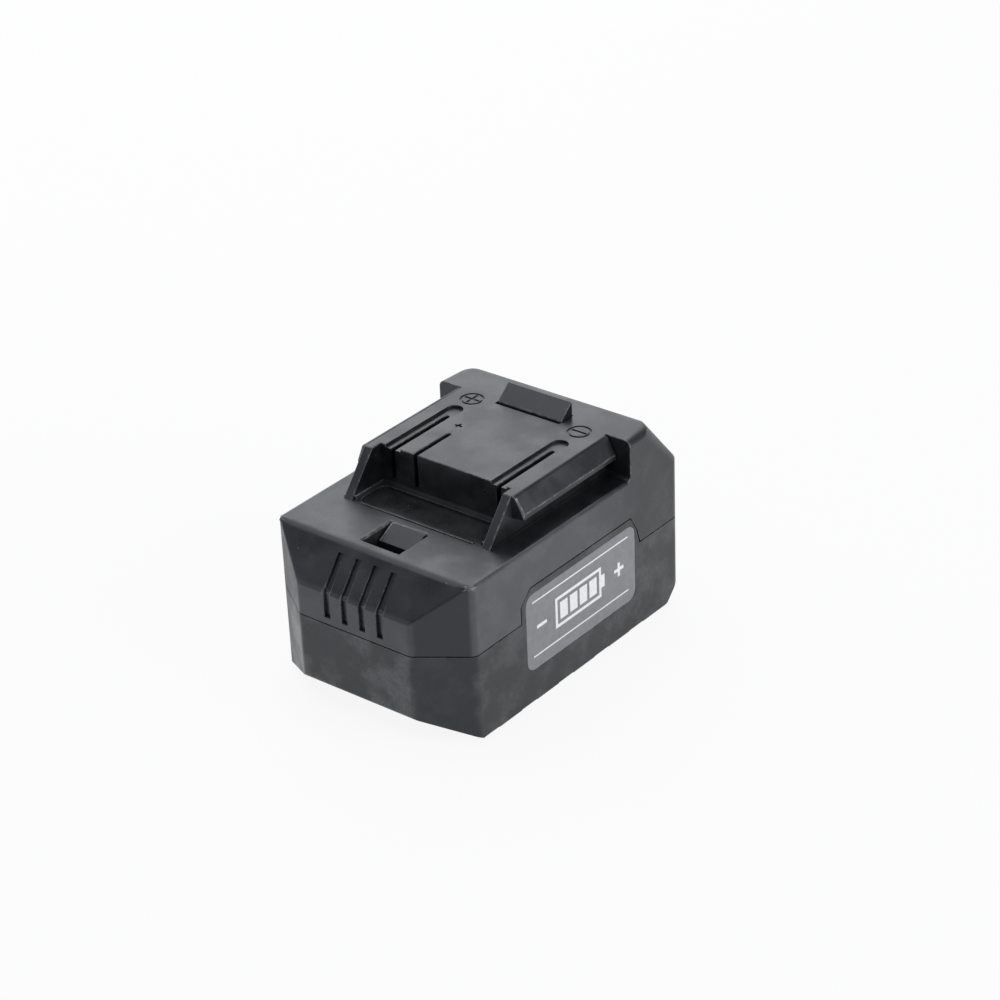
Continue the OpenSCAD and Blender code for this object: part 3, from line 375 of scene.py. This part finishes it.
lower_case = moulded_copy("lower_case", "lower_tub")
soften(lower_case, width=0.12, room=0.4, segments=2)
lower_finish = case_plastic(
    "scuffed_charcoal", dark=(0.0075, 0.0077, 0.0086), light=(0.0115, 0.0118, 0.013),
    scuffed=(0.12, 0.12, 0.122), scuff=(0.4, 0.8), dust=0.3, wear_and_highlight_share=0.4,
)
lower_case.data.materials.append(lower_finish)
finish_shading(lower_case)
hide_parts("lower_case")
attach(lower_case, "pack")


# Ten cells in shrink sleeves lie across the tub in two layers.
# The sleeves are thin film, glossy and a little uneven where they have shrunk.
def tinted(name, low, high, roughness, scale, depth, metallic=0.0):
    """A finish whose tone, sheen and height follow one noise of the given scale."""
    material, tree, shader, vector = new_material(name, sum(roughness) / 2, metallic)
    tone = noise(tree, vector, scale, detail=3.0)
    tree.links.new(mix_colours(tree, remap(tree, tone, 0.3, 0.7), low, high), shader.inputs["Base Color"])
    tree.links.new(remap(tree, tone, 0.3, 0.7, *roughness), shader.inputs["Roughness"])
    add_bump(tree, shader, tone, depth)
    return material


def dress(material, *names):
    for name in names:
        nodes[name].data.materials.clear()
        nodes[name].data.materials.append(material)


cell_count = 10
sleeve = tinted(
    "cell_sleeve", low=(0.03, 0.16, 0.3), high=(0.04, 0.2, 0.36),
    roughness=(0.25, 0.4), scale=220.0, depth=0.05,
)
dress(sleeve, *[f"cell_{i + 1}" for i in range(cell_count)])

# Two moulded frames hold the cells by their ends.
# They are plain ABS in its natural colour, pushed over the cells from either side.
holder_finish = tinted(
    "natural_abs", low=(0.62, 0.61, 0.57), high=(0.7, 0.69, 0.66),
    roughness=(0.4, 0.55), scale=900.0, depth=0.03,
)
dress(holder_finish, "cell_holder_left", "cell_holder_right")

# Nickel strips are spot welded over the cell ends, and paper sheets cover them.
# The strips are rolled and bright; the sheets are pressed paper that keeps them off the case.
nickel = tinted(
    "rolled_nickel", low=(0.55, 0.53, 0.49), high=(0.66, 0.64, 0.6),
    roughness=(0.25, 0.4), scale=700.0, depth=0.01, metallic=1.0,
)
dress(nickel, *[f"strip_{side}_{k}" for side in ("left", "right") for k in (1, 2, 3)])
paper = tinted(
    "fish_paper", low=(0.3, 0.42, 0.34), high=(0.38, 0.5, 0.41),
    roughness=(0.75, 0.9), scale=1500.0, depth=0.03,
)
dress(paper, "insulator_left", "insulator_right")

# The protection board carries the chips, the power switches and the sense resistors.
# It is laminate under a green solder mask, screwed down over the cells.
solder_mask = tinted(
    "solder_mask", low=(0.01, 0.1, 0.045), high=(0.015, 0.14, 0.06),
    roughness=(0.25, 0.4), scale=400.0, depth=0.02,
)
dress(solder_mask, "circuit_board")
package = tinted(
    "chip_package", low=(0.012, 0.012, 0.013), high=(0.02, 0.02, 0.021),
    roughness=(0.4, 0.55), scale=2600.0, depth=0.01,
)
dress(package, "controller_chip", "power_switches", "thermistor")
resistor_body = tinted(
    "coated_ceramic", low=(0.02, 0.02, 0.024), high=(0.05, 0.05, 0.055),
    roughness=(0.35, 0.5), scale=1800.0, depth=0.01,
)
dress(resistor_body, "shunt_resistor", "balance_resistors")

# Fork contacts of rolled brass stand in a black block behind the slots.
# The block sits on the board, and the plate that retains the latch is moulded in the same nylon.
brass = tinted(
    "contact_brass", low=(0.6, 0.42, 0.17), high=(0.72, 0.53, 0.24),
    roughness=(0.2, 0.36), scale=800.0, depth=0.01, metallic=1.0,
)
dress(brass, "positive_terminal", "negative_terminal", "signal_terminal")
black_nylon = tinted(
    "black_nylon", low=(0.008, 0.008, 0.009), high=(0.014, 0.014, 0.015),
    roughness=(0.45, 0.6), scale=1600.0, depth=0.02,
)
dress(black_nylon, "terminal_holder", "latch_retainer")

# Screws are plated steel, and so are the two coil springs.
# The springs stand on the retainer and shorten as the latch goes down on them.
plated = tinted(
    "plated_steel", low=(0.34, 0.34, 0.35), high=(0.46, 0.46, 0.47),
    roughness=(0.28, 0.42), scale=1200.0, depth=0.01, metallic=1.0,
)
dress(plated, "case_screws", "retainer_screws", "board_screws")
wire_turn = math.radians(40)
for side in ("left", "right"):
    coil = moulded_copy(f"latch_spring_{side}", f"latch_coil_{side}")
    coil.data.materials.append(plated)
    bpy.ops.object.shade_smooth_by_angle(angle=wire_turn)
    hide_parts(f"latch_spring_{side}")
    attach(coil, "pack")
    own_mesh(coil)

# Upper half of the case: the deck with rails, slots, catch pocket and end wall, one moulding.
# Its flats have the same grain as the tub; its edges are worn where the tool's foot slides on, and they
# also carry painted highlights.
upper_case = moulded_copy("upper_case", "upper_cover")

# The ridges beside the slope at the back open out towards the top, so that its corners are the roundest
half_width, pack_back = 38.9, 59.1
ridge_foot, ridge_top, slope_run = 53.0, 69.6, 12.4
ridge_radius, ridge_reach = 3.45, 4.35
ridge_start = 0.1
most_swell = 1.2
for vertex in upper_case.data.vertices:
    x, y, z = vertex.co / mm
    share = (z - ridge_foot) / (ridge_top - ridge_foot)
    slope_y = pack_back - share * slope_run
    aside = half_width - abs(x)
    ahead = slope_y - y
    if share > ridge_start and aside < ridge_radius and ahead < ridge_reach:
        swell = 1 + most_swell * share
        vertex.co.x = math.copysign(half_width - aside * swell, x) * mm
        vertex.co.y = (slope_y - ahead * swell) * mm

# The recesses round the contact slots are shallow
recess_floor, recess_lift = 67.6, 1.0
recess_half, recess_front, recess_back = 27, -16, 30
nearly = 0.01
for vertex in upper_case.data.vertices:
    x, y, z = vertex.co / mm
    if abs(z - recess_floor) < nearly and abs(x) < recess_half and recess_front < y < recess_back:
        vertex.co.z += recess_lift * mm

# The brow over the facet is rounded more along its middle than at the corners
brow_y, brow_z = -48.3, 55.8
brow_reach = 0.8
brow_end = 33.0
brow_swell = 2.2
level = 0.999


def near_brow(point):
    return math.hypot(point.y - brow_y * mm, point.z - brow_z * mm) < brow_reach * mm


for end_x in (-brow_end, brow_end):
    activate(upper_case)
    bpy.ops.object.mode_set(mode="EDIT")
    bpy.ops.mesh.select_all(action="DESELECT")
    mesh = bmesh.from_edit_mesh(upper_case.data)
    for face in mesh.faces:
        close = [near_brow(vertex.co) for vertex in face.verts]
        face.select_set(all(close) or (any(close) and face.normal.z > level))
    bmesh.update_edit_mesh(upper_case.data)
    bpy.ops.mesh.bisect(plane_co=(end_x * mm, 0, 0), plane_no=(1, 0, 0))
    bpy.ops.object.mode_set(mode="OBJECT")
for vertex in upper_case.data.vertices:
    if abs(vertex.co.x) < (brow_end + nearly) * mm and near_brow(vertex.co):
        vertex.co.y = (brow_y + (vertex.co.y / mm - brow_y) * brow_swell) * mm
        vertex.co.z = (brow_z + (vertex.co.z / mm - brow_z) * brow_swell) * mm

# Points of the deck that the wider brow would run over move back behind it
brow_limit = -46.4
brow_gap = 0.03
deck_points = [v for v in upper_case.data.vertices if abs(v.co.z / mm - brow_z) < nearly]
brow_back = max(v.co.y for v in deck_points if v.co.y < brow_limit * mm) / mm
for vertex in deck_points:
    x, y, z = vertex.co / mm
    if abs(x) < brow_end + nearly and brow_y < y < brow_back - 2 * nearly:
        vertex.co.y = (brow_back + brow_gap) * mm

# The pocket's ramp stops short of the pocket's front wall, which leaves a dark gap
ramp_front, ramp_back, ramp_half, ramp_top = -42.9, -30.7, 6.7, 55.8
ramp_foot, ramp_rise = 48.0, 6.4 / 12.2
ramp_cut = 5.6
ramp_margin = 0.05
slope_least, slope_most = 0.8, 0.95


def on_ramp(x, y, z):
    in_width = abs(x) < ramp_half + ramp_margin
    in_length = ramp_front - ramp_margin < y < ramp_back + ramp_margin
    return in_width and in_length and z < ramp_top + ramp_margin


def on_slope(face):
    return on_ramp(*(face.calc_center_median() / mm)) and slope_least < face.normal.z < slope_most


for vertex in upper_case.data.vertices:
    x, y, z = vertex.co / mm
    if on_ramp(x, y, z) and y < ramp_front + ramp_margin:
        vertex.co.y += ramp_cut * mm
        if z > ramp_foot:
            vertex.co.z += ramp_cut * ramp_rise * mm

# A strip along the ramp's left edge, which gets a painted highlight
bright_strip = 0.45
bright_x = bright_strip - ramp_half
activate(upper_case)
bpy.ops.object.mode_set(mode="EDIT")
bpy.ops.mesh.select_mode(type="FACE")
bpy.ops.mesh.select_all(action="DESELECT")
mesh = bmesh.from_edit_mesh(upper_case.data)
mesh.normal_update()
for face in mesh.faces:
    face.select_set(on_slope(face))
bmesh.update_edit_mesh(upper_case.data)
bpy.ops.mesh.bisect(plane_co=(bright_x * mm, 0, 0), plane_no=(1, 0, 0))
bpy.ops.object.mode_set(mode="OBJECT")


front_end, facet_low, deck_high = -14, 34, 58
nose_inner, nose_outer = 31, 33
nose_front, nose_back = -16.5, -15
nose_low, nose_high = 64, 68.5
block_half, block_front, block_back = 24, -17, -8
block_low, block_high = 56, 69
joint_height, joint_margin = 31.1, 1.2


def front_form(x, y, z):
    """Edges round the front deck and the facet under it, which are rounded more than the rest."""
    return y < front_end and facet_low < z < deck_high and not on_ramp(x, y, z)


def rail_nose(x, y, z):
    """The leading edge of each rail's lean, which meets the tool's foot first."""
    across = nose_inner < abs(x) < nose_outer
    return across and nose_front < y < nose_back and nose_low < z < nose_high


def touched_edge(x, y, z):
    """Edges away from the joint, the ramp and the front of the terminal block, which nothing rubs."""
    at_joint = abs(z - joint_height) <= joint_margin
    on_block = abs(x) < block_half and block_front < y < block_back and block_low < z < block_high
    return not at_joint and not on_block and not on_ramp(x, y, z)


# Polarity signs sunk into the deck: two rings with bars in front of the end wall,
# and a small plus by the signal slot
deck_height = 69.6
sign_depth = 0.4
stroke = 0.85


def flat_bar(x, y, length, width):
    bpy.ops.mesh.primitive_plane_add(size=1, location=(x * mm, y * mm, deck_height * mm))
    bpy.context.object.scale = (length * mm, width * mm, 1)
    return bpy.context.object


def flat_ring(x, y, radius):
    place = (x * mm, y * mm, deck_height * mm)
    inner = radius - stroke
    bpy.ops.mesh.primitive_circle_add(vertices=48, radius=inner * mm, fill_type="NOTHING", location=place)
    bpy.ops.object.mode_set(mode="EDIT")
    bpy.ops.mesh.select_all(action="SELECT")
    bpy.ops.mesh.extrude_edges_move()
    bpy.ops.transform.resize(value=(radius / inner, radius / inner, 1), center_override=place)
    bpy.ops.object.mode_set(mode="OBJECT")
    return bpy.context.object


def joined(flats, name, thickness):
    """Joins flat pieces into one object at the origin and gives them a thickness to both sides."""
    bpy.ops.object.select_all(action="DESELECT")
    for flat in flats:
        flat.select_set(True)
    bpy.context.view_layer.objects.active = flats[0]
    bpy.ops.object.join()
    piece = bpy.context.object
    piece.name = name
    bpy.ops.object.transform_apply(location=True, rotation=True, scale=True)
    thick = piece.modifiers.new("thickness", "SOLIDIFY")
    thick.thickness = thickness * mm
    thick.offset = 0
    bpy.ops.object.modifier_apply(modifier=thick.name)
    return piece


bpy.ops.object.select_all(action="DESELECT")
plus_x, plus_y = -21.2, 28.1
minus_x, minus_y = 21.4, 29.3
ring_radius = 4.1
arm = 5.8
stub = (arm - stroke) / 2
stub_offset = (stroke + stub) / 2
small_x, small_y = -13.0, 10.9
small_arm, small_stroke = 2.6, 0.6
small_stub = (small_arm - small_stroke) / 2
small_offset = (small_stroke + small_stub) / 2
signs = [
    flat_ring(plus_x, plus_y, ring_radius),
    flat_bar(plus_x, plus_y, arm, stroke),
    flat_bar(plus_x, plus_y + stub_offset, stroke, stub),
    flat_bar(plus_x, plus_y - stub_offset, stroke, stub),
    flat_ring(minus_x, minus_y, ring_radius),
    flat_bar(minus_x, minus_y, arm, stroke),
    flat_bar(small_x, small_y, small_arm, small_stroke),
    flat_bar(small_x, small_y + small_offset, small_stroke, small_stub),
    flat_bar(small_x, small_y - small_offset, small_stroke, small_stub),
]
sign_cutter = joined(signs, "sign_cutter", 2 * sign_depth)
activate(upper_case)
sunk = upper_case.modifiers.new("signs", "BOOLEAN")
sunk.operation = "DIFFERENCE"
sunk.solver = "EXACT"
sunk.use_self = True
sunk.object = sign_cutter
bpy.ops.object.modifier_apply(modifier=sunk.name)
bpy.data.objects.remove(sign_cutter)

# Edges: wide rounding in front, rail noses marked strongly for a painted highlight, then a finer rounding
# wherever there is room
soften(upper_case, width=0.9, room=6.0, segments=4, wanted=front_form)
soften(upper_case, width=0.9, room=1.0, segments=3, wanted=rail_nose, wear_and_highlight_value=2.5)
soften(upper_case, width=0.35, room=1.2, segments=3, wanted=touched_edge)
soften(upper_case, width=0.12, room=0.35, segments=2, wanted=touched_edge)
# Painted highlights: a glint on the right front corner and a bright line along the ramp's left edge
glint_corner = Vector((37.8, -48.2, 55.4)) * mm
corner_size, corner_glint = 1.5, 3.0
strip_highlight = 4.0
wear_and_highlight_marks = upper_case.data.attributes["edge_wear_and_highlight"].data
for polygon in upper_case.data.polygons:
    x, y, z = polygon.center / mm
    if (polygon.center - glint_corner).length < corner_size * mm:
        wear_and_highlight_marks[polygon.index].value = corner_glint
    elif on_ramp(x, y, z) and x < bright_x and polygon.normal.z > slope_least:
        wear_and_highlight_marks[polygon.index].value = strip_highlight
# The upper half takes the painted sheen on its sides and front
upper_finish = case_plastic(
    "charcoal", dark=(0.0065, 0.0067, 0.0076), light=(0.0105, 0.0108, 0.0122),
    scuffed=(0.06, 0.06, 0.062), scuff=(0.35, 0.35), dust=0.4, wear_and_highlight_share=0.6, painted_sheen=1.0,
)
upper_case.data.materials.append(upper_finish)
finish_shading(upper_case)
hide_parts("upper_case")
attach(upper_case, "pack")

# Bead: a low rounded bar that closes the recessed panel towards the front deck.
# It is moulded with the upper half of the case, in the same charcoal.
bead_y, bead_half = -26.95, 22.6
bead_width, bead_height = 1.0, 0.35
bpy.ops.object.select_all(action="DESELECT")
bpy.ops.mesh.primitive_cube_add(size=1, location=(0, bead_y * mm, (brow_z + bead_height / 2) * mm))
bead = bpy.context.object
bead.name = "panel_bead"
bead.scale = (2 * bead_half * mm, bead_width * mm, bead_height * mm)
bpy.ops.object.transform_apply(location=True, rotation=True, scale=True)
soften(bead, width=0.15, room=0.3, segments=3)
bead.data.materials.append(upper_finish)
finish_shading(bead)
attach(bead, "pack")

# Latch: hook and thumb button in one moulding of a harder, smoother plastic with a blue cast.
# It slides down in the end wall, against the two springs, when the button is pressed.
latch = moulded_copy("latch_button", "latch_hook")

# The foot of the hook's ramp is cut back, which leaves a dark gap in front of it
hook_front = min(v.co.y for v in latch.data.vertices)
hook_foot = max(v.co.z for v in latch.data.vertices if v.co.y < hook_front + nearly * mm)
hook_rise = 5.3 / 6.6
hook_cut = 0.75
for vertex in latch.data.vertices:
    if vertex.co.y < hook_front + nearly * mm and vertex.co.z > hook_foot - nearly * mm:
        vertex.co += Vector((0, hook_cut, hook_cut * hook_rise)) * mm
soften(latch, width=0.35, room=1.2, segments=3)
latch_finish = case_plastic(
    "latch_charcoal", dark=(0.011, 0.0115, 0.0145), light=(0.016, 0.0165, 0.02),
    scuffed=(0.035, 0.035, 0.038), scuff=(0.3, 0.3), dust=0.4, wear_and_highlight_share=0.6,
    roughness=(0.28, 0.38), pit_depth=0.012,
)
latch.data.materials.append(latch_finish)
finish_shading(latch)
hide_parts("latch_button")
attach(latch, "latch")

# Label: a satin grey film let into the tab on one side.
# Its face lies a little under the tab's, and a pictogram of a charged battery is printed on it.
label = moulded_copy("label_plate", "label_film")
label_sink = 0.1
label_face = 38.9
face_margin = 0.05
activate(label)
bpy.ops.object.mode_set(mode="EDIT")
bpy.ops.mesh.select_all(action="DESELECT")
mesh = bmesh.from_edit_mesh(label.data)
for vertex in mesh.verts:
    vertex.select_set(vertex.co.x > (label_face - face_margin) * mm)
mesh.select_flush(True)
bmesh.update_edit_mesh(label.data)
bpy.ops.transform.translate(value=(-label_sink * mm, 0, 0))
bpy.ops.object.mode_set(mode="OBJECT")
satin_film = tinted(
    "satin_film", low=(0.2, 0.204, 0.216), high=(0.238, 0.242, 0.255),
    roughness=(0.3, 0.4), scale=420.0, depth=0.01,
)
label.data.materials.append(satin_film)
finish_shading(label)
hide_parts("label_plate")
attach(label, "pack")


def printed_bar(y, z, length, height):
    place = ((label_face - label_sink) * mm, y * mm, z * mm)
    bpy.ops.mesh.primitive_plane_add(size=1, location=place, rotation=(0, math.pi / 2, 0))
    bpy.context.object.scale = (height * mm, length * mm, 1)
    return bpy.context.object


bpy.ops.object.select_all(action="DESELECT")
both_sides = (-1, 1)
outline = 1.1
icon_y, icon_z = 4.0, 26.6
icon_length, icon_height = 24.0, 11.0
nub_length, nub_height = 1.8, 4.6
bar_count, bar_pitch = 4, 5.1
bar_length, bar_height = 3.9, 6.2
minus_place, plus_place = -15.0, 25.5
sign_length, sign_width = 5.0, 1.2
sign_stub = (sign_length - sign_width) / 2
rule_y, rule_length, rule_width = 5.5, 50.0, 0.5
rule_heights = (36.2, 16.6)
edge_z = (icon_height - outline) / 2
edge_y = (icon_length - outline) / 2
prints = [printed_bar(icon_y, icon_z + side * edge_z, icon_length, outline) for side in both_sides]
prints += [
    printed_bar(icon_y + side * edge_y, icon_z, outline, icon_height - 2 * outline) for side in both_sides
]
prints.append(printed_bar(icon_y + (icon_length + nub_length) / 2, icon_z, nub_length, nub_height))
first_bar = icon_y - (bar_count - 1) / 2 * bar_pitch
prints += [printed_bar(first_bar + k * bar_pitch, icon_z, bar_length, bar_height) for k in range(bar_count)]
prints += [printed_bar(place, icon_z, sign_length, sign_width) for place in (minus_place, plus_place)]
stub_z = (sign_width + sign_stub) / 2
prints += [printed_bar(plus_place, icon_z + side * stub_z, sign_width, sign_stub) for side in both_sides]
prints += [printed_bar(rule_y, height, rule_length, rule_width) for height in rule_heights]
ink_thickness = 0.04
label_print = joined(prints, "label_print", ink_thickness)
white_ink = tinted(
    "white_ink", low=(0.82, 0.82, 0.83), high=(0.9, 0.9, 0.91),
    roughness=(0.4, 0.55), scale=900.0, depth=0.005,
)
label_print.data.materials.append(white_ink)
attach(label_print, "pack")

# Floor: a plain white sweep that shows white to the camera and keeps a soft shadow.
# Part of its white is its own glow, which the camera and reflections see and the pack isn't lit by.
floor_size = 6.0
camera_glow, mirror_glow = 0.9, 0.5
bpy.ops.object.select_all(action="DESELECT")
bpy.ops.mesh.primitive_plane_add(size=floor_size, location=(0, 0, cad_box[0][2]))
floor = bpy.context.object
floor.name = "floor"
floor_finish, tree, shader, vector = new_material("white_sweep", 0.8)
shader.inputs["Base Color"].default_value = (0.82, 0.82, 0.82, 1.0)
glow = add_node(tree, "ShaderNodeEmission")
glow.inputs["Strength"].default_value = 1.0
path = add_node(tree, "ShaderNodeLightPath")
mirrored = math_node(tree, "MAXIMUM", path.outputs["Is Glossy Ray"], path.outputs["Is Transmission Ray"])
seen_share = math_node(tree, "MULTIPLY", path.outputs["Is Camera Ray"], camera_glow)
mirror_share = math_node(tree, "MULTIPLY", mirrored, mirror_glow)
share = math_node(tree, "MAXIMUM", seen_share, mirror_share)
blend = add_node(tree, "ShaderNodeMixShader")
tree.links.new(share, blend.inputs["Fac"])
tree.links.new(shader.outputs["BSDF"], blend.inputs[1])
tree.links.new(glow.outputs["Emission"], blend.inputs[2])
tree.links.new(blend.outputs["Shader"], tree.nodes["Material Output"].inputs["Surface"])
floor.data.materials.append(floor_finish)

# World: white to the camera, a dim and slightly blue studio to everything else.
# Four soft lights stand round the pack: above, behind on the left, and on either side.
world = bpy.data.worlds.new("studio")
bpy.context.scene.world = world
world.use_nodes = True
tree = world.node_tree
room_light = tree.nodes["Background"]
to_camera = add_node(tree, "ShaderNodeLightPath").outputs["Is Camera Ray"]
dim_room = 0.34
room_tint, plain_white = (0.88, 0.94, 1.0), (1.0, 1.0, 1.0)
tree.links.new(mix_colours(tree, to_camera, room_tint, plain_white), room_light.inputs["Color"])
tree.links.new(remap(tree, to_camera, 0.0, 1.0, dim_room, 1.0), room_light.inputs["Strength"])
pack_middle = Vector((0, 0, 0.035))


def softbox(name, place, size, watts):
    """A square soft light at a place, turned to the middle of the pack."""
    light = bpy.data.lights.new(name, "AREA")
    light.shape = "SQUARE"
    light.size = size
    light.energy = watts
    lamp = bpy.data.objects.new(name, light)
    bpy.context.scene.collection.objects.link(lamp)
    aim = pack_middle - Vector(place)
    lamp.matrix_world = Matrix.Translation(place) @ aim.to_track_quat("-Z", "Y").to_matrix().to_4x4()


softbox("overhead", place=(-0.28, -0.06, 0.95), size=1.1, watts=3.8)
softbox("back_left", place=(-0.72, 0.88, 0.70), size=1.1, watts=6.0)
softbox("left_side", place=(-1.3, -0.25, 0.4), size=0.8, watts=3.0)
softbox("right_side", place=(1.2, 0.25, 0.5), size=0.8, watts=9.0)

# Camera: a long lens from the front right and above.
# Its place, turn and focal length were fitted to the photograph's straight edges.
azimuth = math.radians(39.34)
elevation = math.radians(29.10)
roll = math.radians(-2.44)
camera_place = Vector((514.8, -613.7, 496.9)) * mm
focal_pixels = 2886.05
frame_pixels = 1000
back = Vector((
    math.sin(azimuth) * math.cos(elevation), -math.cos(azimuth) * math.cos(elevation), math.sin(elevation)
))
level_right = Vector((math.cos(azimuth), math.sin(azimuth), 0))
level_up = back.cross(level_right)
right = level_right * math.cos(roll) + level_up * math.sin(roll)
up = level_up * math.cos(roll) - level_right * math.sin(roll)
lens = bpy.data.cameras.new("camera")
lens.sensor_width = 36
lens.lens = lens.sensor_width * focal_pixels / frame_pixels
lens.clip_start = 0.01
camera = bpy.data.objects.new("camera", lens)
camera.matrix_world = Matrix.Translation(camera_place) @ Matrix((right, up, back)).transposed().to_4x4()
bpy.context.scene.collection.objects.link(camera)
bpy.context.scene.camera = camera
bpy.context.scene.view_settings.view_transform = "Standard"
